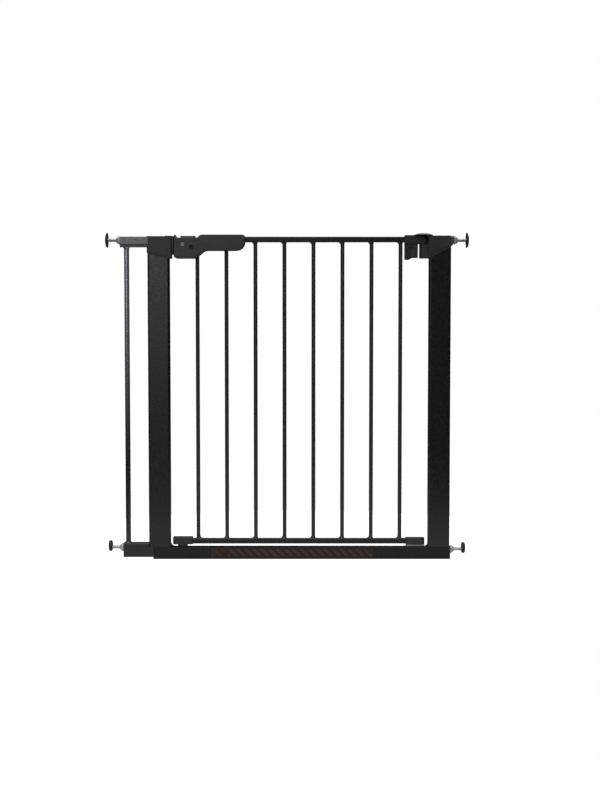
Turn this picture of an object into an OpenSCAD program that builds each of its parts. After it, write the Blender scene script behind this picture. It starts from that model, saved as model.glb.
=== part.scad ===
// Pressure-mounted safety gate: a U-shaped steel frame with a swinging barred leaf, one side
// extension and four screw spindles with rubber wall pads. Millimetres, +Z up, the viewer at -Y.
// The origin is the middle of the threshold bar's underside.

/* [Frame] */
// Width across the outsides of the two posts
frame_w = 682; // [670:1:700]
// Height of the frame above the floor
frame_h = 730; // [700:1:760]
// Width of each post, seen from the front
post_w = 49.5; // [48.5:0.5:50]
// Depth of the posts, the threshold and the extension tubes
frame_d = 22; // [22:1:24]
// Height of the threshold bar
threshold_h = 28; // [28:0.5:29]
// Sheet thickness of the frame tubes
wall = 1.5; // [1.2:0.1:1.6]

/* [Leaf] */
// Diameter of the upright bars
bar_d = 9; // [8:0.1:9.4]
// Height of the leaf's two rails
rail_h = 12.5; // [11:0.5:12.5]
// Depth of the leaf's two rails
rail_d = 12; // [11:0.5:13]
// How far the leaf lifts on its hinges
leaf_lift = 8; // [6:0.5:8]

/* [Handle] */
// Depth of the handle, front to back
handle_d = 38; // [36:1:42]
// Thickness of the handle's walls
handle_wall = 2.5; // [2:0.1:2.5]
// How far the lock bolt travels to lock
lock_travel = 7; // [6:0.5:7]

/* [Extension] */
// Width that the side extension adds
extension_w = 59.5; // [58:0.5:75]
// Diameter of the extension's upright bar
extension_bar_d = 11.5; // [10:0.5:12]

/* [Spindles] */
// Thread diameter of the four spindles
spindle_d = 7.9; // [7.5:0.1:7.9]
// Length of each clamping nut
nut_l = 9; // [8:0.5:9]
// Width across the flats of the clamping nuts
nut_flats = 16.5; // [15:0.5:17]
// Diameter of the two upper wall pads
upper_pad_d = 34.6; // [30:0.2:36]
// Diameter of the two lower wall pads
lower_pad_d = 25.2; // [24:0.2:28]

/* [Hidden] */
$fn = 64;
slip = 0.1;        // gap round a part that is fitted into another
loose = 0.3;       // gap round a part that only passes through another
run = 0.05;        // radial gap of a running fit
press = 0.01;      // radial gap of a press fit
cut = 1;           // how far a cutting shape runs past a face

bar_count = 8;
post_in = frame_w / 2 - post_w;              // inner face of each post
post_out = frame_w / 2;                      // outer face of each post
post_mid = post_in + post_w / 2;
post_top = frame_h - 2;
post_corner = 4.5;
tube_corner = 2.5;
half_d = frame_d / 2;

fitting_wall = 1.6;                          // corner fitting's wall, front and back
fitting_half = half_d + fitting_wall;
fitting_low = frame_h - 50;                  // lowest edge of the left corner fitting and the hinge leg
keeper_x = -post_in + 4.9;                   // left fitting's face towards the leaf
keeper_t = 4.4;
keeper_low = frame_h - 41.2;
fitting_x0 = -post_out - 1.2;                // left fitting's face towards the extension
socket_l = 1.6;                              // how far an end collar reaches over its post
collar_low = frame_h - 16.8;                  // underside of the spindle collar
fitting_reach = 60;                          // height of the block a corner fitting is cut from
screw_z = frame_h - 27;                      // height of the fittings' rear screws

spindle_high = frame_h - 9;                  // height of the upper spindles and spigot
spindle_low = 21.8;                          // height of the lower right spindle and the lower spigot
spindle_r = spindle_d / 2;

rail_top = frame_h - 1;                      // top face of the leaf's upper rail
rail_low = threshold_h + 6.5;                // underside of the leaf's lower rail
bar_r = bar_d / 2;
bar_x0 = -(post_in - 62.3);                  // first bar
bar_pitch = 65.3;
rail_x0 = -post_in + 30;                     // latch end of the lower rail

hinge_x = post_in - 12.5;                    // hinge axis
pin_r = 3;
bush_r = 4.5;
barrel_r = 9.4;
barrel_low = frame_h - 49.6;
barrel_top = frame_h - 19;
arm_low = barrel_top + 1.4;
arm_top = frame_h + 2.3;
arm_r = 9.5;                                 // round end of the arm, about the hinge axis
arm_half = 10.5;
arm_x0 = hinge_x - 42.2;                     // end of the hinge arm on the leaf's side
hinge_base = rail_low - 0.9;                 // underside of the lower hinge block
upper_pin_low = barrel_low + 4;              // where each hinge pin starts
lower_pin_low = threshold_h - 17;
seat_r = 5.3;

handle_x = -post_in + 10.1;                  // handle's face towards the keeper
handle_z = frame_h - 49.7;                   // handle's underside
handle_half = handle_d / 2;
body_h = 46.1;                               // height of the lock housing
grip_low = 17.3;                             // underside of the grip above the housing's
grip_top = 52.8;
grip_end = 160.2;                            // length of the whole handle
bolt_h = 12;
bolt_w = 12;
bolt_l = 33;
bolt_z = frame_h - 31;                       // underside of the lock bolt
slide_len = 34.9;
slide_x = lock_travel + 7.6;                 // left end of the thumb slide, lock drawn back
neck_x = lock_travel + 13.5;                 // neck of the thumb slide, through the handle's top
neck_l = 10;
// Centres of the handle's screw bosses, along and up from its lower left corner
handle_bosses = [[40.3, 24.2], [15, 7.5], [86.2, 26.6], [142.7, 27.6]];
boss_r = 4.2;

extension_x = -post_out - extension_w;       // middle of the extension's outer ends
extension_top_x = extension_x - 2;
extension_bottom_x = extension_x + 1.5;
extension_bar_x = extension_x + 12;
extension_low = 4.5;                         // underside of the extension's lower tube
extension_tube_h = 32.3;
extension_top_low = frame_h - 24.7;          // underside of the extension's upper tube
extension_top_h = 23.7;
tongue = 10;                                 // part of the lower tube that runs under the post
plug_l = 12;                                 // length of the plugs in the tubes' ends
cap_t = 1.8;                                 // threshold end cap's thickness outside the tube

// Each spindle: side (-1 left, 1 right), end of the part its nut bears on, outer face of its pad, height,
// and whether it has the wide upper pad
SPINDLES = [
    [-1, -extension_top_x, 34 - extension_top_x, spindle_high, true],
    [-1, -extension_bottom_x, 34 - extension_bottom_x, spindle_low + extension_low, false],
    [1, post_out + 6.5, post_out + 40.5, spindle_high, true],
    [1, post_out + cap_t, post_out + 36, spindle_low, false]
];
rod_inside = 34;                             // rod length behind the face its nut bears on
nut_gap = 0.2;
lower_pad_rise = 3.2;                        // how far the lower pads sit above their rods

// Rear screws of the corner fittings: x and z
FITTING_SCREWS = [
    [-post_mid - 12, screw_z], [-post_mid + 14, screw_z],
    [post_mid - 14, screw_z], [post_mid + 10, screw_z + 7]
];
screw_r = 1.5;

function arc(centre, r, a0, a1, n = 8) =
    [for (i = [0:n]) centre + r * [cos(a0 + (a1 - a0) * i / n), sin(a0 + (a1 - a0) * i / n)]];

// ---- shapes that repeat ----

module round_rect(w, h, r) {
    square([w - 2 * r, h], center = true);
    square([w, h - 2 * r], center = true);
    for (sx = [-1, 1], sy = [-1, 1])
        translate([sx * (w / 2 - r), sy * (h / 2 - r)]) circle(r);
}

module tube_ring(w, h, r, t) {
    difference() {
        round_rect(w, h, r);
        round_rect(w - 2 * t, h - 2 * t, max(r - t, 0.5));
    }
}

// Extrudes a profile drawn in Y and Z from x0 to x1
module along_x(x0, x1) {
    translate([x0, 0, 0]) rotate([90, 0, 90]) linear_extrude(x1 - x0) children();
}

// Extrudes an outline drawn in X and Z from y0 to y1
module along_y(y0, y1) {
    translate([0, y1, 0]) rotate([90, 0, 0]) linear_extrude(y1 - y0) children();
}

module rod_x(x0, x1, r, z) {
    translate([x0, 0, z]) rotate([0, 90, 0]) cylinder(h = x1 - x0, r = r);
}

module rod_y(x, y0, y1, r, z) {
    translate([x, y0, z]) rotate([-90, 0, 0]) cylinder(h = y1 - y0, r = r);
}

module rod_z(x, z0, z1, r) {
    translate([x, 0, z0]) cylinder(h = z1 - z0, r = r);
}

// Outline of a leaf rail with a gap round it
module rail_room(gap) {
    round_rect(rail_d + 2 * gap, rail_h + 2 * gap, tube_corner);
}

module leaf_rail(x0, x1, low) {
    along_x(x0, x1) translate([0, low + rail_h / 2]) tube_ring(rail_d, rail_h, tube_corner, 1.2);
}

// ---- frame ----

module threshold_bar() {
    color("#262827") difference() {
        along_x(-post_out + tongue, post_out)
            translate([0, threshold_h / 2]) tube_ring(frame_d, threshold_h, tube_corner, wall);
        rod_z(hinge_x, threshold_h - wall - cut, threshold_h + cut, seat_r + slip);
    }
}

module tube_plug(x0, x1, z_mid, h, bore_z) {
    difference() {
        along_x(x0, x1) translate([0, z_mid])
            round_rect(frame_d - 2 * (wall + slip), h - 2 * (wall + slip), 1);
        rod_x(x0 - cut, x1 + cut, spindle_r + run, bore_z);
    }
}

module threshold_plug_left() {
    color("#2a2a2c") tube_plug(-post_out + tongue, -post_out + tongue + plug_l,
        threshold_h / 2, threshold_h, spindle_low);
}

module threshold_cap_right() {
    color("#2a2a2c") {
        tube_plug(post_out - plug_l, post_out, threshold_h / 2, threshold_h, spindle_low);
        difference() {
            along_x(post_out, post_out + cap_t) translate([0, threshold_h / 2])
                round_rect(frame_d, threshold_h, tube_corner);
            rod_x(post_out - cut, post_out + cap_t + cut, spindle_r + run, spindle_low);
        }
    }
}

module post(side) {
    color("#303030") difference() {
        translate([side * post_mid, 0, threshold_h]) linear_extrude(post_top - threshold_h)
            tube_ring(post_w, frame_d, post_corner, wall);
        rod_x(side * post_out - 2 * wall, side * post_out + 2 * wall, spindle_r + loose, spindle_high);
        for (s = FITTING_SCREWS)
            rod_y(s[0], half_d - wall - cut, half_d + cut, screw_r + slip, s[1]);
    }
}

// Weld fillets between the posts and the threshold
module post_gussets() {
    weld_half = half_d - 2;
    outer = 1.8;
    color("#262827") {
        for (side = [-1, 1]) {
            fillet = side < 0 ? 8 : 6;
            along_y(-weld_half, weld_half) difference() {
                translate([side * (post_in - fillet / 2), threshold_h + fillet / 2])
                    square(fillet, center = true);
                translate([side * (post_in - fillet), threshold_h + fillet]) circle(fillet);
            }
        }
        along_y(-weld_half, weld_half) difference() {
            translate([post_out, threshold_h]) square(outer);
            translate([post_out + outer, threshold_h + outer]) circle(outer);
        }
    }
}

// What a corner fitting leaves free for the post inside it
module post_room(side) {
    translate([side * post_mid, 0, 0]) linear_extrude(post_top + slip)
        round_rect(post_w + 2 * slip, frame_d + 2 * slip, post_corner);
}

module fitting_screw_holes() {
    for (s = FITTING_SCREWS)
        rod_y(s[0], half_d - cut, fitting_half + cut, screw_r + slip, s[1]);
}

module bolt_pocket(x0, x1) {
    room = 0.5;
    translate([x0, -bolt_w / 2 - room, bolt_z - room])
        cube([x1 - x0, bolt_w + 2 * room, bolt_h + 2 * room]);
}

module left_fitting() {
    step = 14;                               // length of the raised edge beside the leaf
    rise = 0.9;
    color("#39393b") difference() {
        intersection() {
            along_y(-fitting_half, fitting_half) polygon([
                [fitting_x0, fitting_low + 12], [-post_in - 2, fitting_low],
                [keeper_x, fitting_low - 0.4], [keeper_x, frame_h + rise],
                [keeper_x - step, frame_h + rise], [keeper_x - step - 1, frame_h],
                [fitting_x0, frame_h]
            ]);
            translate([(keeper_x + fitting_x0) / 2, 0, fitting_low - cut])
                linear_extrude(fitting_reach) round_rect(keeper_x - fitting_x0, 2 * fitting_half, 3);
        }
        post_room(-1);
        // Collar on the end of the extension's upper tube
        translate([fitting_x0 - cut, -fitting_half - cut, extension_top_low - fitting_wall - slip])
            cube([socket_l - post_out + slip - fitting_x0 + cut, 2 * (fitting_half + cut), fitting_reach]);
        bolt_pocket(-post_in - cut, keeper_x + cut);
        fitting_screw_holes();
    }
}

// Strike plate that the bolt passes through
module keeper_plate() {
    color("#2c2c2e") difference() {
        translate([keeper_x, -9, keeper_low]) cube([keeper_t, 18, frame_h + 0.6 - keeper_low]);
        bolt_pocket(keeper_x - cut, keeper_x + keeper_t + cut);
    }
}

module right_fitting() {
    inner = post_in - 2;                     // face towards the hinge arm
    top = frame_h + 1.2;
    lip = post_out + 4;
    end = post_out - socket_l - slip;        // face towards the spindle collar
    color("#2e2e30") difference() {
        union() {
            intersection() {
                along_y(-fitting_half, fitting_half) polygon([
                    [inner, barrel_low], [post_in, barrel_low], [post_out - 4, frame_h - 27.2],
                    [post_out - 1, frame_h - 24.6], [lip, frame_h - 18.6], [lip, collar_low - slip],
                    [end, collar_low - slip], [end, top], [inner, top]
                ]);
                translate([(inner + lip) / 2, 0, barrel_low - cut])
                    linear_extrude(fitting_reach) round_rect(lip - inner, 2 * fitting_half, 1);
            }
            rod_z(hinge_x, barrel_low, barrel_top, barrel_r);
            translate([hinge_x, -barrel_r, barrel_low])
                cube([inner - hinge_x + 0.5, 2 * barrel_r, barrel_top - barrel_low]);
        }
        post_room(1);
        rod_z(hinge_x, upper_pin_low, barrel_top + cut, pin_r + press);
        fitting_screw_holes();
    }
}

module fitting_screws() {
    color("silver") for (s = FITTING_SCREWS) {
        rod_y(s[0], half_d - 6, fitting_half, screw_r, s[1]);
        rod_y(s[0], fitting_half, fitting_half + 2, 3.2, s[1]);
    }
}

// Block that closes the right fitting and carries the nut of the upper spindle
module spindle_collar() {
    h = frame_h + 0.8 - collar_low;
    x1 = post_out + 6.5;
    color("#5c5b62") difference() {
        along_x(post_out - socket_l, x1) translate([0, collar_low + h / 2])
            round_rect(2 * fitting_half - 0.6, h, 4);
        post_room(1);
        rod_x(post_out, x1 + cut, spindle_r + run, spindle_high);
    }
}

module upper_hinge_pin() {
    color("silver") rod_z(hinge_x, upper_pin_low, frame_h, pin_r);
}

module lower_hinge_pin() {
    color("silver") rod_z(hinge_x, lower_pin_low, hinge_base + leaf_lift + 4.2, pin_r);
}

module lower_hinge_seat() {
    top = hinge_base - 0.3;
    color("#2a2a2c") difference() {
        union() {
            rod_z(hinge_x, lower_pin_low - 1.5, threshold_h, seat_r);
            translate([hinge_x, 0, threshold_h]) linear_extrude(top - threshold_h) {
                translate([-37, -8]) square([39, 16]);
                circle(seat_r + 0.7);
            }
        }
        rod_z(hinge_x, lower_pin_low, top + cut, pin_r + press);
    }
}

// Plain strip on the front of the threshold that marks the step
module threshold_strip() {
    color("#3a2f2a") translate([-199.4, -half_d - 0.3, 3.8]) cube([366.9, 0.3, 21.7]);
}

// ---- side extension ----

// Upper tube's outline: nearly square on top, well rounded below
module extension_top_outline(t) {
    low_r = 7;
    top_r = 2.5;
    w = half_d;
    translate([0, extension_top_low]) polygon(concat(
        arc([-w + low_r, low_r], low_r - t, 180, 270), arc([w - low_r, low_r], low_r - t, 270, 360),
        arc([w - top_r, extension_top_h - top_r], top_r - t, 0, 90),
        arc([-w + top_r, extension_top_h - top_r], top_r - t, 90, 180)
    ));
}

module extension_top_tube() {
    color("#5c5b62") difference() {
        union() {
            along_x(extension_top_x, fitting_x0 + slip) extension_top_outline(0);
            along_x(fitting_x0, socket_l - post_out) extension_top_outline(-fitting_wall);
        }
        along_x(extension_top_x - cut, fitting_x0) extension_top_outline(wall);
        post_room(-1);
        rod_x(fitting_x0 - cut, -post_out + cut, spindle_r + loose, spindle_high);
    }
}

module extension_bottom_tube() {
    color("#2d2d35") difference() {
        along_x(extension_bottom_x, -post_out + tongue)
            translate([0, extension_low + extension_tube_h / 2])
            tube_ring(frame_d, extension_tube_h, tube_corner, wall);
        translate([-post_out - slip, -frame_d, threshold_h - 0.2])
            cube([tongue + cut, 2 * frame_d, 20]);
    }
}

module extension_bar() {
    r = extension_bar_d / 2;
    low = extension_low + extension_tube_h;
    flare = 5;
    color("#232226") {
        rod_z(extension_bar_x, low, extension_top_low, r);
        translate([extension_bar_x, 0, low]) cylinder(h = flare, r1 = 8, r2 = r);
        translate([extension_bar_x, 0, extension_top_low - flare]) cylinder(h = flare, r1 = r, r2 = 8);
    }
}

module extension_top_plug() {
    color("#5c5b62") difference() {
        along_x(extension_top_x, extension_top_x + 9) extension_top_outline(wall + slip);
        rod_x(extension_top_x - cut, extension_top_x + 9 + cut, spindle_r + run, spindle_high);
    }
}

module extension_bottom_plug() {
    color("#2d2d35") tube_plug(extension_bottom_x, extension_bottom_x + plug_l,
        extension_low + extension_tube_h / 2, extension_tube_h, spindle_low + extension_low);
}

// Pins that join the extension to the frame where the frame's own spindles would go
module extension_top_spigot() {
    color("silver") {
        along_x(-post_out - 9, -post_out - 3) extension_top_outline(wall + slip);
        rod_x(-post_out - 3, -post_out + 29, spindle_r, spindle_high);
    }
}

module extension_bottom_spigot() {
    color("silver") {
        along_x(-post_out - 8, -post_out - 2) translate([0, extension_low + extension_tube_h / 2])
            round_rect(frame_d - 2 * (wall + slip), extension_tube_h - 2 * (wall + slip), 1);
        rod_x(-post_out - 2, -post_out + 36, spindle_r, spindle_low);
    }
}

// ---- spindles, drawn on the right-hand side and mirrored for the left ----

module on_side(s) {
    if (s[0] > 0) children();
    else mirror([1, 0, 0]) children();
}

module rod(s) {
    color("#b9b9ba") on_side(s) rod_x(s[1] - rod_inside, s[2] - 3, spindle_r, s[3]);
}

module nut(s) {
    corner_r = nut_flats / sqrt(3);
    color("#9a9a9c") on_side(s) translate([s[1] + nut_gap, 0, s[3]]) rotate([0, 90, 0]) difference() {
        intersection() {
            cylinder(h = nut_l, r = corner_r, $fn = 6);
            union() {
                cylinder(h = 3, r1 = corner_r - 1, r2 = corner_r + 1);
                translate([0, 0, 3]) cylinder(h = nut_l - 3, r1 = corner_r + 0.3, r2 = 4.8);
            }
        }
        translate([0, 0, -cut]) cylinder(h = nut_l + 2 * cut, r = spindle_r + run);
    }
}

// Pad outlines give the radius and the distance from the wall face
function upper_pad_outline(r) = concat(
    [[0, 0], [8, 0]],
    [for (i = [1:8]) let (q = i / 8) [8 + (r - 8) * q, 4 * q * q]],
    [[r, 5.8], [r - 1, 6.4], [r - 6, 5], [6, 5], [5, 9], [0, 9]]
);

function lower_pad_outline(r) = concat(
    [[0, 0], [r - 4, 0]],
    arc([r - 4, 4], 4, 270, 360),
    arc([r - 2.5, 5.5], 2.5, 0, 90),
    [[8.5, 8], [7.5, 8.2], [0, 8.2]]
);

module pad(s) {
    rise = s[4] ? 0 : lower_pad_rise;
    socket_x = s[2] - 3;                     // where the rod ends inside the pad
    color("#1a181a") on_side(s) difference() {
        translate([s[2], 0, s[3] + rise]) rotate([0, -90, 0]) rotate_extrude()
            polygon(s[4] ? upper_pad_outline(upper_pad_d / 2) : lower_pad_outline(lower_pad_d / 2));
        rod_x(socket_x - 10, socket_x, spindle_r, s[3]);
    }
}

// ---- hinges ----

module upper_hinge_bush() {
    flange_low = barrel_top + 0.2;
    flange_top = flange_low + 1;
    color("#d8d8d4") difference() {
        union() {
            rod_z(hinge_x, flange_low, flange_top, 6.5);
            rod_z(hinge_x, flange_top, arm_top - 0.4, bush_r);
        }
        rod_z(hinge_x, barrel_top, arm_top, pin_r + run);
    }
}

module lower_hinge_bush() {
    color("#d8d8d4") difference() {
        rod_z(hinge_x, hinge_base - 0.1, hinge_base + 12.4, bush_r);
        rod_z(hinge_x, hinge_base - cut, hinge_base + 13.4, pin_r + run);
    }
}

module hinge_arm() {
    body_x1 = hinge_x - 15;
    color("#2f302f") difference() {
        union() {
            translate([arm_x0, -arm_half, arm_low])
                cube([body_x1 - arm_x0, 2 * arm_half, arm_top - arm_low]);
            translate([body_x1 - cut, -arm_r, arm_low])
                cube([hinge_x - body_x1 + cut, 2 * arm_r, arm_top - arm_low]);
            rod_z(hinge_x, arm_low, arm_top, arm_r);
        }
        rod_z(hinge_x, arm_low - cut, arm_top - 0.3, bush_r + run);
        // Notch in the round end, in front
        translate([hinge_x, -arm_r - cut, arm_top - 9.8]) {
            translate([2.6, 0, 0]) cube([arm_r, arm_r + cut - 5.3, 9.8 + cut]);
            translate([5.3, 0, 0]) cube([arm_r, arm_r + cut - 0.3, 9.8 + cut]);
        }
        along_x(arm_x0 - cut, body_x1 - 5) translate([0, rail_top - rail_h / 2])
            rail_room(slip);
    }
}

module hinge_cap() {
    cap_r = 21.5;
    cap_h = 4.6;
    color("#2d2d2d") translate([hinge_x, 0, arm_top]) rotate_extrude()
        polygon(concat([[0, 0], [cap_r, 0], [cap_r, 0.8]],
            [for (i = [1:8]) let (q = 1 - i / 8) [cap_r * q, 0.8 + (cap_h - 0.8) * (1 - q * q)]]));
}

// Skirt under the hinge arm, hollowed along its middle
module hinge_leg() {
    leg_x1 = hinge_x - 12.7;
    leg_low = fitting_low - 2.7;
    color("#252726") difference() {
        along_y(-10, 10) polygon(concat(
            [[arm_x0, arm_low], [arm_x0, leg_low], [arm_x0 + 9, leg_low]],
            [for (i = [1:6]) let (q = i / 6) [arm_x0 + 9 + 9 * q, leg_low + 4.2 * q * q * (3 - 2 * q)]],
            [[leg_x1, fitting_low + 1.5], [leg_x1, arm_low]]
        ));
        for (side = [-1, 1])
            translate([(arm_x0 + leg_x1) / 2 - 1, side * 31, fitting_low - 10])
                cylinder(h = arm_low - fitting_low + 6, r = 23);
    }
}

module lower_hinge_block() {
    x0 = hinge_x - 37.5;
    x1 = hinge_x + 6;
    color("#2b2829") difference() {
        translate([0, 0, hinge_base]) linear_extrude(15.2) {
            translate([x0, -9]) square([x1 - 9 - x0, 18]);
            translate([x1 - 9, 0]) circle(9);
        }
        rod_z(hinge_x, hinge_base - cut, hinge_base + 13, bush_r + run);
        along_x(x0 - cut, hinge_x - 17) translate([0, rail_low + rail_h / 2])
            rail_room(slip);
    }
}

// ---- leaf ----

module leaf_top_rail() {
    color("#1e1f1e") difference() {
        leaf_rail(bar_x0 + bar_r - 1, hinge_x - 22.2, rail_top - rail_h);
        rod_z(bar_x0, rail_top - rail_h - cut, rail_top + cut, bar_r);
        // Corner cut off where the handle's top slopes down
        translate([bar_x0, -rail_d, rail_top - 5]) cube([8, 2 * rail_d, 5 + cut]);
    }
}

module leaf_bottom_rail() {
    color("#2a2a2a") leaf_rail(rail_x0, hinge_x - 17.2, rail_low);
}

// Bar 1 runs up beside the rail's end; the others stop under the rail
module bar(i) {
    top = i == 1 ? rail_top - 6 : rail_top - rail_h;
    color("#2b2b29") rod_z(bar_x0 + (i - 1) * bar_pitch, rail_low + rail_h, top, bar_r);
}

module bead(x, side) {
    difference() {
        along_y(-3, 3) polygon([[x, 0], [x + side * (bar_r + 5), 0], [x + side * (bar_r + 1), 3],
            [x + side * bar_r, 8], [x, 8]]);
        rod_z(x, -cut, 9, bar_r);
    }
}

// Weld beads beside each bar, on the left except at bar 1
module weld_beads() {
    color("#1e1f1e") for (i = [1:bar_count]) {
        x = bar_x0 + (i - 1) * bar_pitch;
        side = i == 1 ? 1 : -1;
        translate([0, 0, rail_low + rail_h]) bead(x, side);
        if (i > 1) translate([0, 0, rail_top - rail_h]) mirror([0, 0, 1]) bead(x, side);
    }
}

module latch_foot() {
    x0 = -post_in + 4.6;
    low = rail_low - 1.3;
    color("#2b2829") difference() {
        union() {
            translate([x0, -9, low]) cube([45.3, 18, 17]);
            translate([x0 + 10.5, -7, threshold_h + 0.3]) cube([23.4, 14, low - threshold_h]);
        }
        along_x(rail_x0 - slip, x0 + 46) translate([0, rail_low + rail_h / 2])
            rail_room(slip);
    }
}

// ---- handle, drawn along and up from its lower left corner ----

// Outline of the lock housing and the grip, set in by t
function handle_outline(t) = concat(
    arc([9, 9], 9 - t, 180, 270),
    arc([45.5, 10], 10 - t, 270, 310.5),
    [[69.45 - 0.37 * t, grip_low + t]],
    arc([grip_end - 20, grip_low + 20], 20 - t, 270, 360, 12),
    arc([grip_end - 7, grip_top - 7], 7 - t, 0, 90),
    [[59.7 + 0.44 * t, grip_top - t], [53.3 + 0.44 * t, body_h - t]],
    arc([3, body_h - 3], 3 - t, 90, 180)
);

module handle_bores() {
    // Bolt, in the face towards the keeper
    translate([-cut, -bolt_w / 2 - 0.3, bolt_z - handle_z - 0.3])
        cube([handle_wall + 2 * cut, bolt_w + 0.6, bolt_h + 0.6]);
    // Neck of the thumb slide, in the housing's top
    translate([neck_x - lock_travel - 0.5, -4.3, body_h - handle_wall - cut])
        cube([neck_l + lock_travel + 1.2, 8.6, handle_wall + 2 * cut]);
    // Bars, below
    translate([-handle_x, 0, -handle_z]) for (x = [bar_x0, bar_x0 + bar_pitch])
        rod_z(x, handle_z - cut, handle_z + 24, bar_r + 0.35);
    // Upper rail, at the grip's end
    along_x(grip_end - handle_wall - cut, grip_end + cut)
        translate([0, rail_top - rail_h / 2 - handle_z])
        rail_room(loose);
}

// A half of the handle's shell, between y0 and y1, with its closed face at y_face
module handle_shell(y_face) {
    y0 = min(y_face, 0);
    y1 = max(y_face, 0);
    side = sign(y_face);
    inner = y_face - side * handle_wall;
    boss_y0 = min(inner, 0);
    boss_y1 = max(inner, 0);
    difference() {
        union() {
            difference() {
                along_y(y0, y1) polygon(handle_outline(0));
                along_y(min(inner, -side * cut), max(inner, -side * cut))
                    polygon(handle_outline(handle_wall));
            }
            for (b = handle_bosses) rod_y(b[0], boss_y0, boss_y1, boss_r, b[1]);
            // Tooth that stops the thumb slide
            along_y(side > 0 ? 0 : -9, side > 0 ? 9 : 0)
                polygon([[0, 42], [0, 50], [1.2, 52.8], [3.2, 52.8], [7.4, body_h], [7.4, 44]]);
            // Ribs that guide the bolt
            for (z = [bolt_z - 2.3, bolt_z + bolt_h + 0.3])
                translate([3, side > 0 ? 4.6 : inner, z - handle_z])
                    cube([30, abs(inner) - 4.6, 2]);
        }
        handle_bores();
    }
}

module handle_front() {
    color("#3a3a3a") translate([handle_x, 0, handle_z]) difference() {
        handle_shell(-handle_half);
        for (b = handle_bosses) rod_y(b[0], -handle_half + 4, cut, screw_r, b[1]);
        // Dimple over the first boss
        rod_y(handle_bosses[0][0], -handle_half - cut, -handle_half + 1.5, 5.2, handle_bosses[0][1]);
        // Seat of the indicator
        translate([15.9, -handle_half - cut, 27]) cube([8.1, 1 + cut, 8.1]);
    }
}

module handle_rear() {
    color("#3a3a3a") translate([handle_x, 0, handle_z]) difference() {
        handle_shell(handle_half);
        for (b = handle_bosses) {
            rod_y(b[0], -cut, handle_half + cut, screw_r + 0.3, b[1]);
            rod_y(b[0], handle_half - 2.5, handle_half + cut, 3.6, b[1]);
        }
    }
}

module handle_screws() {
    color("#4a4a4c") translate([handle_x, 0, handle_z]) for (b = handle_bosses) {
        rod_y(b[0], -handle_half + 5, handle_half - 2.5, screw_r, b[1]);
        rod_y(b[0], handle_half - 2.5, handle_half - 0.5, 3.3, b[1]);
    }
}

module indicator() {
    color("#6e6e6e") translate([handle_x + 15.95, -handle_half, handle_z + 27.05]) difference() {
        cube([8, 0.95, 8]);
        translate([3.7, -cut, -cut]) cube([0.6, cut + 0.4, 10]);
        translate([-cut, -cut, 3.7]) cube([10, cut + 0.4, 0.6]);
    }
}

// Bowed strip under the bolt that holds it at either end of its travel
module detent_spring() {
    bow_r = 30;
    t = 0.5;
    top = bolt_z - handle_z - 0.15;
    color("silver") translate([handle_x, 0, handle_z]) intersection() {
        along_y(-4, 4) translate([17, top - bow_r]) difference() {
            circle(bow_r);
            circle(bow_r - t);
        }
        translate([6, -4, top - 5]) cube([22, 8, 6]);
    }
}

// ---- lock ----

module lock_bolt() {
    color("#8f8f92") translate([handle_x - 0.2, -bolt_w / 2, bolt_z]) cube([bolt_l, bolt_w, bolt_h]);
}

module thumb_slide() {
    top = 50.7;
    pitch = 3.4;
    base = body_h + 0.3;
    color("#353535") translate([handle_x, 0, handle_z]) {
        difference() {
            translate([slide_x, 0, 0]) along_y(-7, 7) polygon([
                [0, base], [slide_len, base], [slide_len, base + 1], [slide_len - 2.6, top], [0, top]
            ]);
            for (i = [1:8]) translate([slide_x + i * pitch, -8, top - 0.8]) cube([1.2, 16, 2]);
        }
        translate([neck_x, -4, bolt_z + bolt_h - handle_z])
            cube([neck_l, 8, body_h + 0.5 - (bolt_z + bolt_h - handle_z)]);
    }
}

threshold_bar();
threshold_plug_left();
threshold_cap_right();
post(-1);  // left_post
post(1);  // right_post
post_gussets();
left_fitting();
keeper_plate();
right_fitting();
fitting_screws();
spindle_collar();
upper_hinge_pin();
lower_hinge_pin();
lower_hinge_seat();
threshold_strip();
extension_top_tube();
extension_bottom_tube();
extension_bar();
extension_top_plug();
extension_bottom_plug();
extension_top_spigot();
extension_bottom_spigot();
rod(SPINDLES[0]);  // rod_top_left
rod(SPINDLES[1]);  // rod_bottom_left
rod(SPINDLES[2]);  // rod_top_right
rod(SPINDLES[3]);  // rod_bottom_right
pad(SPINDLES[0]);  // pad_top_left
pad(SPINDLES[1]);  // pad_bottom_left
pad(SPINDLES[2]);  // pad_top_right
pad(SPINDLES[3]);  // pad_bottom_right
nut(SPINDLES[0]);  // nut_top_left
nut(SPINDLES[1]);  // nut_bottom_left
nut(SPINDLES[2]);  // nut_top_right
nut(SPINDLES[3]);  // nut_bottom_right
upper_hinge_bush();
lower_hinge_bush();
leaf_top_rail();
leaf_bottom_rail();
bar(1);  // bar_1
bar(2);  // bar_2
bar(3);  // bar_3
bar(4);  // bar_4
bar(5);  // bar_5
bar(6);  // bar_6
bar(7);  // bar_7
bar(8);  // bar_8
weld_beads();
handle_front();
handle_rear();
handle_screws();
indicator();
detent_spring();
hinge_arm();
hinge_cap();
hinge_leg();
lower_hinge_block();
latch_foot();
thumb_slide();
lock_bolt();
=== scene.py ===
"""Pressure-mounted safety gate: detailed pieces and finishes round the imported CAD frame.

Sizes are millimetres in the frame's own axes (+Z up, the viewer at -Y) until a mesh is made.
Finishes, lights and the camera are in metres.
"""

import math

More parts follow.
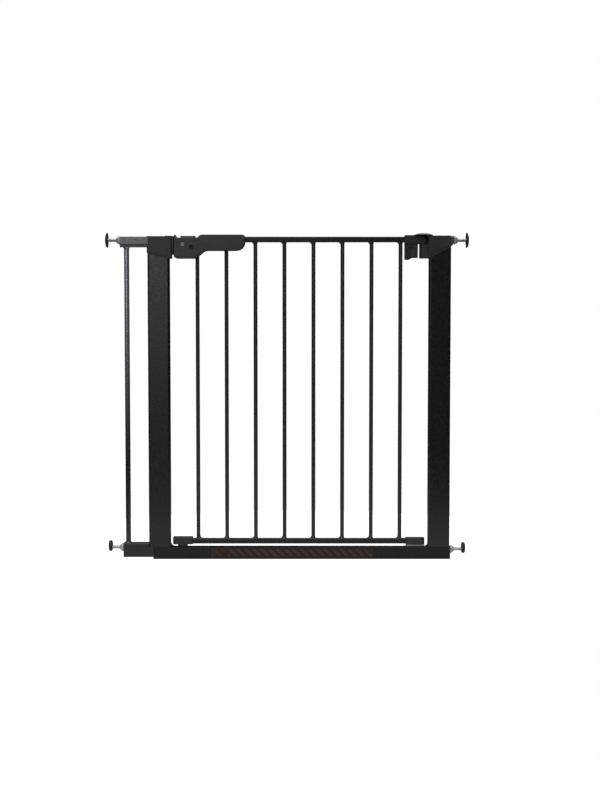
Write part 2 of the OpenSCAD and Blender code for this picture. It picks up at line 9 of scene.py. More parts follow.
import bmesh
import bpy
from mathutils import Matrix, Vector


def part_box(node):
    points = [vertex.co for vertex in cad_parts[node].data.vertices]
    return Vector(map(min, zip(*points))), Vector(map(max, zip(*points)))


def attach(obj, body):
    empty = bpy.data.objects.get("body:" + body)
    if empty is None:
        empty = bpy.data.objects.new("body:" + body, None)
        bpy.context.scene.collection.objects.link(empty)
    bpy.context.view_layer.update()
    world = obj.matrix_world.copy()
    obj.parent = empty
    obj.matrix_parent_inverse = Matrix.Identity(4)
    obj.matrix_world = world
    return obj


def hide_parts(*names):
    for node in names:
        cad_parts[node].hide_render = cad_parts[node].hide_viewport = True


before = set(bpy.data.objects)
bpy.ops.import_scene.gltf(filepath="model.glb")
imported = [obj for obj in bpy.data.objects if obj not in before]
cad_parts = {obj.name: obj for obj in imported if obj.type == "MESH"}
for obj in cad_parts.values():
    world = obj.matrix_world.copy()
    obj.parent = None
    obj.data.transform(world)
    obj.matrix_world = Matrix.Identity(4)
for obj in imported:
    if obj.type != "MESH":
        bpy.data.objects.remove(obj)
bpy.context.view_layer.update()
MM = 0.001


# ---- outlines ----

def box(node):
    """(lowest corner, highest corner) of a CAD node, in millimetres."""
    low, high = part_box(node)
    return low / MM, high / MM


def rounded(corners, steps=6):
    """The outline through corners (x, y, size), each corner eased by a curve that starts its size away."""
    outline = []
    for i, (x, y, size) in enumerate(corners):
        corner = Vector((x, y))
        if size == 0:
            outline.append((x, y))
            continue
        before = Vector(corners[i - 1][:2]) - corner
        after = Vector(corners[(i + 1) % len(corners)][:2]) - corner
        start = corner + before.normalized() * size
        end = corner + after.normalized() * size
        for k in range(steps + 1):
            t = k / steps
            point = start * (1 - t) ** 2 + corner * 2 * t * (1 - t) + end * t ** 2
            outline.append((point.x, point.y))
    return outline


def rounded_box(x0, x1, y0, y1, size, steps=6):
    return rounded([(x0, y0, size), (x1, y0, size), (x1, y1, size), (x0, y1, size)], steps)


def inset(outline, distance):
    """A counter-clockwise outline moved inwards by distance."""
    moved = []
    for i, point in enumerate(outline):
        here = Vector(point)
        along_in = (here - Vector(outline[i - 1])).normalized()
        along_out = (Vector(outline[(i + 1) % len(outline)]) - here).normalized()
        normal_in = Vector((-along_in.y, along_in.x))
        normal_out = Vector((-along_out.y, along_out.x))
        mitre = (normal_in + normal_out) / (1 + normal_in.dot(normal_out))
        moved.append(tuple(here + mitre * distance))
    return moved


def on_axis(axis, outline, height):
    """Outline points in space, at that height along the axis they are extruded on."""
    if axis == "x":
        return [Vector((height, a, b)) for a, b in outline]
    if axis == "y":
        return [Vector((a, height, b)) for a, b in outline]
    return [Vector((a, b, height)) for a, b in outline]


# ---- solids ----

def add_loft(bm, rings, close=False):
    """Joins rings of the same number of points; caps the first and last, or joins them if close is set."""
    made = [[bm.verts.new(p) for p in ring] for ring in rings]
    pairs = list(zip(made, made[1:]))
    if close:
        pairs.append((made[-1], made[0]))
    for lower, upper in pairs:
        for i in range(len(lower)):
            j = (i + 1) % len(lower)
            bm.faces.new((lower[i], lower[j], upper[j], upper[i]))
    if not close:
        bm.faces.new(made[0])
        bm.faces.new(made[-1])


def add_prism(bm, axis, outline, low, high, edge_low=1.0, edge_high=1.0, steps=4):
    """A solid of that outline from low to high, its two rims rounded by the edge radii."""
    rings = []
    for k in range(steps + 1):
        a = math.pi / 2 * k / steps
        if edge_low or k == steps:
            rings.append(on_axis(axis, inset(outline, edge_low * (1 - math.sin(a))),
                                 low + edge_low * (1 - math.cos(a))))
    for k in range(steps, -1, -1):
        a = math.pi / 2 * k / steps
        if edge_high or k == steps:
            rings.append(on_axis(axis, inset(outline, edge_high * (1 - math.sin(a))),
                                 high - edge_high * (1 - math.cos(a))))
    add_loft(bm, rings)


def add_lathe(bm, origin, axis, profile, segments=64, ring=False, radius_at=None):
    """Turns a profile of (radius, distance along axis) about that axis through origin.

    ring joins the profile's ends, for a part with a bore. radius_at(radius, distance, angle) reshapes it.
    """
    along = Vector({"x": (1, 0, 0), "y": (0, 1, 0), "z": (0, 0, 1)}[axis])
    side = Vector({"x": (0, 1, 0), "y": (0, 0, 1), "z": (1, 0, 0)}[axis])
    up = along.cross(side)
    rings = []
    for radius, distance in profile:
        ring_points = []
        for k in range(segments):
            a = 2 * math.pi * k / segments
            r = radius_at(radius, distance, a) if radius_at else radius
            outwards = side * math.cos(a) + up * math.sin(a)
            ring_points.append(Vector(origin) + along * distance + outwards * r)
        rings.append(ring_points)
    add_loft(bm, rings, close=ring)


def solid(add, *args, **settings):
    """A new mesh with one solid in it."""
    bm = bmesh.new()
    add(bm, *args, **settings)
    return bm


def cylinder(axis, origin, radius, start, end, segments):
    """A plain cylinder between two distances along the axis, mostly used to cut a hole."""
    return solid(add_lathe, origin, axis, [(radius, start), (radius, end)], segments)


def ready(bm):
    """The same mesh, welded and with its normals outwards."""
    bmesh.ops.remove_doubles(bm, verts=bm.verts, dist=1e-4)
    bmesh.ops.dissolve_degenerate(bm, edges=bm.edges, dist=1e-5)
    bmesh.ops.recalc_face_normals(bm, faces=bm.faces)
    return bm


def as_object(name, bm):
    mesh = bpy.data.meshes.new(name)
    ready(bm).to_mesh(mesh)
    bm.free()
    obj = bpy.data.objects.new(name, mesh)
    bpy.context.scene.collection.objects.link(obj)
    return obj


def carve(bm, cutters):
    """bm with each cutter taken out of it."""
    base = as_object("carved", bm)
    tools = [as_object("cutter", c) for c in cutters]
    for tool in tools:
        cut = base.modifiers.new("cut", "BOOLEAN")
        cut.operation = "DIFFERENCE"
        cut.solver = "EXACT"
        cut.object = tool
    depsgraph = bpy.context.evaluated_depsgraph_get()
    mesh = bpy.data.meshes.new_from_object(base.evaluated_get(depsgraph))
    result = bmesh.new()
    result.from_mesh(mesh)
    for obj in [base, *tools]:
        bpy.data.objects.remove(obj)
    bpy.data.meshes.remove(mesh)
    return result


def join(*parts):
    """One mesh that holds every part."""
    result = bmesh.new()
    for part in parts:
        mesh = bpy.data.meshes.new("part")
        ready(part).to_mesh(mesh)
        part.free()
        result.from_mesh(mesh)
        bpy.data.meshes.remove(mesh)
    return result


def piece(name, bm, body, material, nodes, sharp=38):
    """Makes the mesh a piece of that body, in place of the CAD nodes."""
    bmesh.ops.scale(bm, vec=(MM, MM, MM), verts=bm.verts)
    mesh = bpy.data.meshes.new(name)
    bmesh.ops.recalc_face_normals(bm, faces=bm.faces)
    bm.to_mesh(mesh)
    bm.free()
    mesh.polygons.foreach_set("use_smooth", [True] * len(mesh.polygons))
    mesh.set_sharp_from_angle(angle=math.radians(sharp))
    mesh.materials.append(material)
    obj = bpy.data.objects.new(name, mesh)
    bpy.context.scene.collection.objects.link(obj)
    even = obj.modifiers.new("even_shading", "WEIGHTED_NORMAL")
    even.keep_sharp = True
    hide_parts(*nodes)
    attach(obj, body)
    return obj


def repaint(obj, material, chosen):
    """Gives another material to the faces whose centre, in millimetres, is chosen."""
    obj.data.materials.append(material)
    for face in obj.data.polygons:
        if chosen(face.center / MM):
            face.material_index = 1


def spread(start, end, count):
    """count numbers from start to end, evenly apart."""
    return [start + (end - start) * k / (count - 1) for k in range(count)]


# ---- finishes ----

EDGE_STARTS, EDGE_FULL = 0.995, 0.86                  # cosine of the turn from the face to the eased normal


class Finish:
    """A principled material and short ways to add nodes to it."""

    def __init__(self, name, roughness, metallic=0.0, specular=0.5):
        self.material = bpy.data.materials.new(name)
        self.material.use_nodes = True
        self.tree = self.material.node_tree
        self.shader = self.tree.nodes["Principled BSDF"]
        self.shader.inputs["Metallic"].default_value = metallic
        self.shader.inputs["Specular IOR Level"].default_value = specular
        self.shader.inputs["Roughness"].default_value = roughness
        self.place = self.add("TexCoord").outputs["Object"]

    def add(self, kind, inputs=None, **settings):
        node = self.tree.nodes.new("ShaderNode" + kind)
        for key, value in settings.items():
            setattr(node, key, value)
        for key, value in (inputs or {}).items():
            if isinstance(value, bpy.types.NodeSocket):
                self.tree.links.new(value, node.inputs[key])
            else:
                node.inputs[key].default_value = value
        return node

    def noise(self, scale, detail=3.0, roughness=0.55, stretch=(1, 1, 1)):
        """Noise from 0 to 1 whose features are about 1/scale metres across."""
        place = self.add("Mapping", {"Vector": self.place, "Scale": stretch}).outputs[0]
        return self.add("TexNoise", {"Vector": place, "Scale": scale, "Detail": detail,
                                     "Roughness": roughness}).outputs["Fac"]

    def remap(self, value, from_low, from_high, to_low, to_high):
        return self.add("MapRange", {"Value": value, "From Min": from_low, "From Max": from_high,
                                     "To Min": to_low, "To Max": to_high}).outputs[0]

    def mix(self, share, first, second):
        node = self.add("Mix", data_type="RGBA")
        for socket, value in zip((node.inputs[0], node.inputs[6], node.inputs[7]), (share, first, second)):
            if isinstance(value, bpy.types.NodeSocket):
                self.tree.links.new(value, socket)
            else:
                socket.default_value = value
        return node.outputs[2]

    def maths(self, operation, first, second):
        return self.add("Math", {0: first, 1: second}, operation=operation).outputs[0]

    def feed(self, name, socket):
        self.tree.links.new(socket, self.shader.inputs[name])

    def eased(self, radius):
        """The normal with the edges eased by that radius, in metres."""
        return self.add("Bevel", {"Radius": radius}, samples=4).outputs[0]

    def edge_share(self, eased):
        """A share that is 1 on edges and 0 elsewhere."""
        facing = self.add("NewGeometry").outputs["Normal"]
        turn = self.add("VectorMath", {0: eased, 1: facing}, operation="DOT_PRODUCT").outputs["Value"]
        return self.remap(turn, EDGE_STARTS, EDGE_FULL, 0.0, 1.0)

    def relief(self, height, distance, strength, normal=None):
        """Surface relief up to distance metres high, on top of that normal if one is given."""
        inputs = {"Height": height, "Distance": distance, "Strength": strength}
        if normal is not None:
            inputs["Normal"] = normal
        self.feed("Normal", self.add("Bump", inputs).outputs[0])


def grey(value, tint=(1.0, 1.0, 1.0)):
    return (value * tint[0], value * tint[1], value * tint[2], 1.0)


# the black that bands of painted shade are mixed towards
SHADE_BLACK = grey(0.0004)


def coated(name, colour, roughness, specular, grain, depth, worn=0.35, clouds=0.16, edge=0.0005,
           metallic=0.0, painted_shade=()):
    """Paint or moulded plastic: clouded colour, fine grain in the surface, edges rubbed a little lighter.

    Each entry of the last argument is a band of painted shade, black mixed in by height: (height where it
    starts, height where it is full, share of black), in metres.
    """
    f = Finish(name, roughness, metallic, specular)
    dark = tuple(c * (1 - clouds) for c in colour[:3]) + (1.0,)
    light = tuple(c * (1 + clouds) for c in colour[:3]) + (1.0,)
    rubbed = tuple(c * 1.9 + 0.006 for c in colour[:3]) + (1.0,)
    eased = f.eased(edge)
    body = f.mix(f.remap(f.noise(34, 4), 0.3, 0.7, 0.0, 1.0), dark, light)
    patchy = f.maths("MULTIPLY", f.edge_share(eased), f.remap(f.noise(120, 3), 0.4, 0.68, 0.0, worn))
    colour = f.mix(patchy, body, rubbed)
    # bands of painted shade: the colour darkened towards black by height
    for start, full, share in painted_shade:
        height = f.add("SeparateXYZ", {0: f.place}).outputs["Z"]
        colour = f.mix(f.remap(height, start, full, 0.0, share), colour, SHADE_BLACK)
    f.feed("Base Color", colour)
    f.feed("Roughness", f.remap(f.noise(160, 3), 0.25, 0.75, roughness - 0.06, roughness + 0.06))
    f.relief(f.noise(grain, 2, 0.6), depth, 1.0, eased)
    return f.material


def zinc(name, tone=0.55, roughness=0.3, turned_axis=None, metallic=1.0):
    """Bright zinc: blotches of the plating, fine scratches, dull spots."""
    f = Finish(name, roughness, metallic)
    blotch = f.remap(f.noise(420, 5, 0.65), 0.3, 0.72, 0.0, 1.0)
    dull, bright = grey(tone * 0.72, (1.0, 0.99, 0.96)), grey(tone * 1.12, (0.98, 0.99, 1.0))
    f.feed("Base Color", f.mix(blotch, dull, bright))
    stretch = {"x": (0.15, 1, 1), "z": (1, 1, 0.15)}.get(turned_axis, (1, 1, 1))
    scratches = f.noise(2600, 3, 0.6, stretch)
    f.feed("Roughness", f.remap(scratches, 0.3, 0.7, roughness - 0.08, roughness + 0.14))
    f.relief(scratches, 0.00001, 0.6, f.eased(0.0003))
    return f.material


def rubber(name, tone):
    """Matt rubber with dust in patches."""
    f = Finish(name, 0.7, specular=0.35)
    dust = f.remap(f.noise(90, 5, 0.6), 0.45, 0.75, 0.0, 0.5)
    f.feed("Base Color", f.mix(dust, grey(tone, (1, 0.97, 1)), grey(tone * 2.4 + 0.004)))
    f.feed("Roughness", f.remap(f.noise(300, 3), 0.3, 0.7, 0.62, 0.82))
    f.relief(f.noise(1500, 3), 0.00004, 0.8, f.eased(0.0004))
    return f.material


def nylon():
    """Natural nylon, a little translucent."""
    f = Finish("nylon", 0.42, specular=0.4)
    cloud = f.remap(f.noise(200, 4), 0.3, 0.7, 0.0, 1.0)
    f.feed("Base Color", f.mix(cloud, grey(0.58, (1, 0.99, 0.95)), grey(0.68, (1, 1, 0.97))))
    f.shader.inputs["Subsurface Weight"].default_value = 0.1
    f.feed("Roughness", f.remap(f.noise(500, 3), 0.3, 0.7, 0.36, 0.5))
    f.relief(f.noise(1800, 2), 0.00001, 0.5)
    return f.material


def strip_film():
    """Printed film: plain slanted stripes in two fields and a border, no wording."""
    stripe_width = 0.009
    # where each soft edge starts and ends
    stripe_edge, border_edge = (0.0043, 0.0047), (0.0026, 0.0022)
    first_field_end, long_field_start = (0.0290, 0.0295), (0.0380, 0.0385)
    low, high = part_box("threshold_strip")
    f = Finish("strip_film", 0.4, specular=0.16)
    axes = f.add("SeparateXYZ", {0: f.place}).outputs
    lean = f.maths("ADD", axes["X"], axes["Z"])
    on_stripe = f.remap(f.maths("PINGPONG", lean, stripe_width), *stripe_edge, 0.0, 1.0)
    half_height = (high.z - low.z) / 2
    from_middle = f.maths("ABSOLUTE", f.maths("SUBTRACT", axes["Z"], (low.z + high.z) / 2), 0)
    in_band = f.remap(from_middle, half_height - border_edge[0], half_height - border_edge[1], 1.0, 0.0)
    along = f.maths("SUBTRACT", axes["X"], low.x)
    first_field = f.remap(along, *first_field_end, 0.5, 0.0)
    long_field = f.remap(along, *long_field_start, 0.0, 1.0)
    fields = f.maths("ADD", first_field, long_field)
    share = f.maths("MULTIPLY", f.maths("MULTIPLY", on_stripe, in_band), fields)
    share = f.maths("MULTIPLY", share, f.remap(f.noise(260, 5, 0.7), 0.35, 0.6, 0.2, 1.0))
    f.feed("Base Color", f.mix(share, grey(0.014, (1.45, 1.0, 0.75)), grey(0.036, (1.6, 0.92, 0.6))))
    f.feed("Roughness", f.remap(f.noise(140, 4), 0.3, 0.7, 0.28, 0.44))
    f.relief(f.noise(500, 2), 0.00001, 0.5)
    return f.material


BLUE = (0.96, 0.96, 1.12)
WARM = (1.0, 0.985, 0.97)
paint = coated("frame_paint", grey(0.003), 0.33, 0.48, 1100, 0.000008)
leaf_paint = coated("leaf_paint", grey(0.006, WARM), 0.36, 0.33, 1100, 0.000004, worn=0.15, edge=0.0002)
bar_paint = coated("bar_paint", grey(0.021, WARM), 0.36, 0.36, 1100, 0.000001, worn=0.0, edge=0.00005)
# one blue-black paint in two copies: lighter on the top tube as painted light, darker on the bottom tube as
# painted shade
extension_paint = coated("extension_paint", grey(0.045, BLUE), 0.30, 0.8, 1100, 0.000006)
extension_shaded_paint = coated("extension_shaded_paint", grey(0.010, BLUE), 0.32, 0.4, 1100, 0.000006)
# the upright's lower part darkened towards black: painted shade where its highlight fades downwards
extension_bar_paint = coated("extension_bar_paint", grey(0.34, BLUE), 0.26, 1.0, 1100, 0.000001, worn=0.0,
                             clouds=0.05, edge=0.00005, metallic=0.7, painted_shade=[(0.62, 0.22, 0.9)])
# black bands along the threshold's top and bottom edges: painted shadow in the gaps above and below it
threshold_paint = coated("threshold_paint", grey(0.011), 0.40, 0.16, 1100, 0.000008, worn=0.0, edge=0.0001,
                         painted_shade=[(0.0262, 0.0268, 0.95), (0.0028, 0.0022, 0.95)])
plastic = coated("frame_plastic", grey(0.024), 0.46, 0.30, 2300, 0.00001)
leaf_plastic = coated("leaf_plastic", grey(0.02, WARM), 0.46, 0.30, 2300, 0.00001)
# the hinge cap's plastic, lighter than the arm's: painted light that offsets the shade on the cap's lower
# side
dome_lightened_plastic = coated("dome_lightened_plastic", grey(0.036, WARM), 0.46, 0.30, 2300, 0.00001)
handle_plastic = coated("handle_plastic", grey(0.029), 0.44, 0.32, 2300, 0.00001)
# darker plastic in the handle's dimple: painted shade in the recess
dimple_shade_paint = coated("dimple_shade_paint", grey(0.013), 0.6, 0.25, 2300, 0.00001)
# near-black for recesses in the hinge mouldings: painted shade
recess_shade_paint = coated("recess_shade_paint", grey(0.002), 0.7, 0.1, 2300, 0.00001)
slide_plastic = coated("slide_plastic", grey(0.016), 0.5, 0.3, 2600, 0.00001)
end_plastic = coated("extension_plastic", grey(0.05, BLUE), 0.42, 0.5, 2300, 0.00001)
# black along the plate's foot: a painted shadow line where it meets the threshold
seat_plastic = coated("seat_plastic", grey(0.17), 0.42, 0.4, 2300, 0.000008, painted_shade=[(0.0302, 0.0296, 0.95)])
tile_grey = coated("indicator_plastic", grey(0.17), 0.4, 0.4, 2300, 0.000008)
steel = zinc("zinc_steel", 0.42, 0.3)
thread_steel = zinc("thread_steel", 0.5, 0.26, "x")
nut_steel = zinc("nut_steel", 0.38, 0.46, metallic=0.3)
screw_steel = coated("screw_black", grey(0.03), 0.34, 0.6, 1500, 0.00002)
pad_rubber = rubber("pad_rubber", 0.008)
bush_nylon = nylon()
film = strip_film()

# ---- CAD nodes whose shape stays ----

KEPT = {
    paint: ["left_post", "right_post"],
    threshold_paint: ["threshold_bar", "post_gussets"],
    leaf_paint: ["leaf_top_rail", "leaf_bottom_rail"],
    bar_paint: [f"bar_{i}" for i in range(1, 9)],
    # the extension's tubes: painted light on the top one, painted shade on the bottom one
    extension_paint: ["extension_top_tube"],
    extension_shaded_paint: ["extension_bottom_tube"],
    plastic: ["threshold_plug_left"],
    end_plastic: ["extension_top_plug", "extension_bottom_plug"],
    steel: ["upper_hinge_pin", "lower_hinge_pin", "extension_top_spigot", "extension_bottom_spigot",
            "detent_spring", "lock_bolt"],
    bush_nylon: ["upper_hinge_bush", "lower_hinge_bush"],
    film: ["threshold_strip"],
}
for material, names in KEPT.items():
    for name in names:
        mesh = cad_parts[name].data
        mesh.materials.clear()
        mesh.materials.append(material)

# ---- corner fittings and the keeper ----

post_low, post_high = box("left_post")
post_w = post_high.x - post_low.x
post_d = post_high.y - post_low.y
post_mid = (post_high.x + post_low.x) / 2            # the left post's; the right post's is its mirror
POST_CORNER = 4.5
SLEEVE_GAP = 0.1
SLEEVE_FROM = 600                                     # a height below every fitting that sleeves a post
SCREW_BELOW_TOP = 27
STEP_UP = 0.9                                         # rise of the left fitting's edge beside the leaf
SOCKET = 1.6                                          # how far an end collar reaches over its post
BOLT_GAP, BOLT_GAP_HANDLE = 0.5, 0.3                  # round the bolt, in the frame and in the handle
bolt_low, bolt_high = box("lock_bolt")


def post_room(side):
    """Room for the top of a post in its fitting; side is 1 for the left post, -1 for the right."""
    x = side * post_mid
    w, d = post_w / 2 + SLEEVE_GAP, post_d / 2 + SLEEVE_GAP
    outline = rounded_box(x - w, x + w, -d, d, POST_CORNER)
    return solid(add_prism, "z", outline, SLEEVE_FROM, post_high.z + SLEEVE_GAP, 0, 0)


def bolt_room(gap, size, x0, x1):
    """The hole that the lock bolt runs in, from x0 to x1."""
    outline = rounded_box(bolt_low.y - gap, bolt_high.y + gap, bolt_low.z - gap, bolt_high.z + gap, size, 3)
    return solid(add_prism, "x", outline, x0, x1, 0, 0)


def lip_groove(x0, z0, x1, z1, half):
    """Cutter for a groove in a fitting's front and back, along the line from (x0, z0) to (x1, z1)."""
    width, depth = 1.5, 1.0
    ring = bmesh.new()
    outline = [(x0, z0), (x1, z1), (x1, z1 + width), (x0, z0 + width)]
    for sign in (-1, 1):
        y = sorted((sign * (half - depth), sign * (half + 1)))
        add_prism(ring, "y", outline, y[0], y[1], 0, 0)
    return ring


fit_low, fit_high = box("left_fitting")
half = fit_high.y
lip_x, lip_z = post_high.x - 2, fit_low.z + 0.4
shell = solid(add_prism, "y", rounded([
    (fit_low.x, fit_low.z + 12.4, 2.7), (lip_x, lip_z, 2.7), (fit_high.x, fit_low.z, 2.7),
    (fit_high.x, fit_high.z, 2.7), (fit_high.x - 14, fit_high.z, 0),
    (fit_high.x - 15, fit_high.z - STEP_UP, 0), (fit_low.x, fit_high.z - STEP_UP, 2.7)],
    4), -half, half, 1.8, 1.8)
pocket = bolt_room(BOLT_GAP, 0.8, post_high.x - 1, fit_high.x + 8)
high_z = post_high.z - 7                              # height of the upper spindles
collar_low_z = box("extension_top_tube")[0].z
collar_outline = rounded_box(-half - 2, half + 2, collar_low_z - 0.1, fit_high.z + 20, 0)
collar_room = solid(add_prism, "x", collar_outline, fit_low.x - 1, post_low.x + SOCKET + 0.1, 0, 0)
groove = lip_groove(fit_low.x - 1, fit_low.z + 16.6, lip_x, lip_z + 4, half)
groove_end = lip_groove(lip_x, lip_z + 4, fit_high.x + 1, lip_z + 3.6, half)
left_fitting = carve(shell, [post_room(1), pocket, collar_room, groove, groove_end])
piece("left_corner_fitting", left_fitting, "frame", plastic, ["left_fitting"])

keep_low, keep_high = box("keeper_plate")
plate = solid(add_prism, "x", rounded_box(keep_low.y, keep_high.y, keep_low.z, keep_high.z, 2.5),
              keep_low.x, keep_high.x, 0, 1.1)
pocket = bolt_room(BOLT_GAP, 0.8, keep_low.x - 1, keep_high.x + 1)
piece("strike_plate", carve(plate, [pocket]), "frame", plastic, ["keeper_plate"])

right_low, right_high = box("right_fitting")
post_in, post_out = -post_high.x, -post_low.x
top = right_high.z
hinge_x = sum(c.x for c in box("upper_hinge_pin")) / 2
barrel_r = hinge_x - right_low.x
barrel_low = right_low.z
barrel_top = box("upper_hinge_bush")[0].z - 0.2
inner = post_in - 2
collar_low, collar_high = box("spindle_collar")
end_x, end_z = post_out - SOCKET - 0.1, collar_low.z - 0.1
slant_x, slant_z = post_out - 4, top - 28.4
shell = solid(add_prism, "y", rounded([
    (inner, barrel_low, 0), (post_in + 0.6, barrel_low, 0), (slant_x, slant_z, 2.0),
    (end_x, slant_z + 2.2, 0), (end_x, top, 0), (inner, top, 0)], 4), -half, half, 1.2, 1.2)
groove = lip_groove(inner - 1, barrel_low + 4.4, slant_x, slant_z + 4, half)
groove_end = lip_groove(slant_x, slant_z + 4, right_high.x + 1, slant_z + 9.6, half)
shell = carve(shell, [post_room(-1), groove, groove_end])
lip = carve(solid(add_prism, "y", rounded([
    (end_x - 1, slant_z + 1.8, 0), (right_high.x, top - 19.8, 0.8), (right_high.x, end_z, 0.6),
    (end_x - 1, end_z, 0)], 3), -half + 0.4, half - 0.4, 0.4, 0.4), [post_room(-1)])
barrel = solid(add_lathe, (hinge_x, 0, 0), "z", [
    (0, barrel_low), (barrel_r - 1.2, barrel_low), (barrel_r - 0.35, barrel_low + 0.35),
    (barrel_r, barrel_low + 1.2), (barrel_r, barrel_top - 0.8), (barrel_r - 0.25, barrel_top - 0.2),
    (barrel_r - 0.9, barrel_top), (0, barrel_top)])
web = solid(add_prism, "z", rounded_box(hinge_x, inner + 0.6, -barrel_r, barrel_r, 0.6, 2),
            barrel_low + 0.2, barrel_top - 0.2, 0.3, 0.3)
GUARD_GAP = 0.3                                       # between the bush's flange and the ring that hides it
LIFT_GAP = 0.35                                       # between that ring and the hinge arm above it
flange_r = box("upper_hinge_bush")[1].y
guard_top = box("hinge_arm")[0].z - LIFT_GAP
guard_in = flange_r + GUARD_GAP
guard = solid(add_lathe, (hinge_x, 0, 0), "z", [
    (guard_in, barrel_top - 1.5), (barrel_r - 0.9, barrel_top - 1.5), (barrel_r - 0.3, barrel_top - 0.4),
    (barrel_r - 0.3, guard_top - 0.3), (barrel_r - 0.6, guard_top), (guard_in, guard_top)], 64, ring=True)
step_half = barrel_r - 0.4
step_outline = rounded_box(hinge_x + flange_r + GUARD_GAP, inner + 0.6, -step_half, step_half, 0.6, 2)
guard_step = solid(add_prism, "z", step_outline, barrel_top - 2, guard_top, 0.3, 0.3)
piece("right_corner_fitting", join(shell, lip, barrel, web, guard, guard_step), "frame",
      plastic, ["right_fitting"])

bore = 4.0                                            # radius of every hole that a rod runs through
block = solid(add_prism, "x", rounded_box(collar_low.y, collar_high.y, collar_low.z, collar_high.z, 5.0, 8),
              collar_low.x, collar_high.x, 0.3, 2.2, steps=6)
rod_hole = cylinder("x", (0, 0, high_z), bore, post_out - 3, collar_high.x + 2, 48)
piece("spindle_collar_block", carve(block, [post_room(-1), rod_hole]), "frame",
      end_plastic, ["spindle_collar"])


def screw(x, z, seat_y, head_r, head_h, length):
    """A pan-head screw that points to -Y, its head on the plane seat_y, with a cross in it."""
    head = solid(add_lathe, (x, 0, z), "y", [
        (0, seat_y - length), (1.1, seat_y - length + 0.4), (1.45, seat_y - length + 1.2), (1.45, seat_y),
        (head_r, seat_y), (head_r, seat_y + head_h * 0.45), (head_r * 0.9, seat_y + head_h * 0.8),
        (head_r * 0.62, seat_y + head_h), (0, seat_y + head_h)], 32)
    arm, half_width = head_r * 0.58, head_r * 0.13
    cross = []
    for w, h in ((arm, half_width), (half_width, arm)):
        cross.append(solid(add_prism, "y", [(x - w, z - h), (x + w, z - h), (x + w, z + h), (x - w, z + h)],
                           seat_y + head_h * 0.35, seat_y + head_h + 1, 0, 0))
    return carve(head, cross)


def screws(places, seat_y, head_r, head_h, length):
    """One mesh of the same screw at each (x, z) place."""
    return join(*[screw(x, z, seat_y, head_r, head_h, length) for x, z in places])


screw_z = fit_high.z - 1.5 - SCREW_BELOW_TOP
piece("fitting_screw_heads", screws([
    (post_mid - 12, screw_z), (post_mid + 14, screw_z), (-post_mid - 14, screw_z),
    (-post_mid + 10, screw_z + 7)], half, 3.2, 2.0, 7), "frame", steel, ["fitting_screws"])

# ---- threshold end cap ----

cap_low, cap_high = box("threshold_cap_right")
low_z = sum(c.z for c in box("rod_bottom_right")) / 2
plug_gap = 1.6
plate = solid(add_prism, "x", rounded_box(cap_low.y, cap_high.y, cap_low.z, cap_high.z, 3.0),
              post_out, cap_high.x, 0, 1.1)
plug = solid(add_prism, "x", rounded_box(cap_low.y + plug_gap, cap_high.y - plug_gap, cap_low.z + plug_gap,
                                         cap_high.z - plug_gap, 1.2), cap_low.x, post_out + 0.2, 0.3, 0)
cap_halves = []
for half_cap in (plate, plug):
    hole = cylinder("x", (0, 0, low_z), bore, cap_low.x - 1, cap_high.x + 1, 48)
    cap_halves.append(carve(half_cap, [hole]))
piece("threshold_end_cap", join(*cap_halves), "frame", plastic, ["threshold_cap_right"])

# ---- extension bar and weld beads ----

ext_low, ext_high = box("extension_bar")
ext_x = (ext_low.x + ext_high.x) / 2
FLARE, FLARE_HEIGHT = 2.25, 5.5                       # the weld at each end of the bar: how wide, how high
ext_r = (ext_high.x - ext_low.x) / 2 - FLARE
flare = [(ext_r + FLARE * (1 - t) ** 2, FLARE_HEIGHT * t) for t in spread(0, 1, 7)]
profile = [(0, ext_low.z)] + [(r, ext_low.z + h) for r, h in flare]
profile += [(r, ext_high.z - h) for r, h in reversed(flare)] + [(0, ext_high.z)]
piece("extension_upright", solid(add_lathe, (ext_x, 0, 0), "z", profile, 48), "frame",
      extension_bar_paint, ["extension_bar"])

bar_r = 4.5
BAR_ROOM = 4.6                                        # radius of the holes for bars and bushes
RAIL_HALF = 6.0                                       # half a rail's depth
RAIL_CORNER = 2.5
rail_low = box("leaf_bottom_rail")
rail_top = box("leaf_top_rail")


def rail_room(rail, gap, x0, x1, steps=6):
    """Room for a rail's end in a moulding, with that gap on every side."""
    reach = RAIL_HALF + gap
    outline = rounded_box(-reach, reach, rail[0].z - gap, rail[1].z + gap, RAIL_CORNER, steps)
    return solid(add_prism, "x", outline, x0, x1, 0, 0)


def add_bead(bm, x, z, up, side):
    """A weld bead where a bar meets a rail at height z: widest on one side, rippled as the weld was laid."""
    reach, height = 5.0, 7.0

    def shape(radius, distance, angle):
        lean = max(0.0, math.cos(angle) * side) ** 1.5
        out = radius - bar_r
        ripple = 1 + 0.10 * math.sin(distance * 4.4 + angle * 2)
        return bar_r - 0.2 + out * (0.22 + 0.78 * lean) * ripple

    profile = []
    for t in spread(0, 1, 9):
        profile.append((bar_r + 0.2 + reach * (1 - t) ** 2.2, z + up * height * t))
    add_lathe(bm, (x, 0, 0), "z", profile, 36, radius_at=shape)


beads = bmesh.new()
for i in range(1, 9):
    bar_low, bar_high = box(f"bar_{i}")
    x = (bar_low.x + bar_high.x) / 2
    side = 1 if i == 1 else -1
    add_bead(beads, x, rail_low[1].z - 0.3, 1, side)
    if i > 1:
        add_bead(beads, x, rail_top[0].z + 0.3, -1, side)
piece("leaf_weld_beads", ready(beads), "leaf", bar_paint, ["weld_beads"], sharp=60)

# ---- spindles: rods, nuts and pads ----

PITCH = 1.25
ROD_R = 3.95
THREAD_DEPTH = 0.3
RING_HEIGHT = 0.35


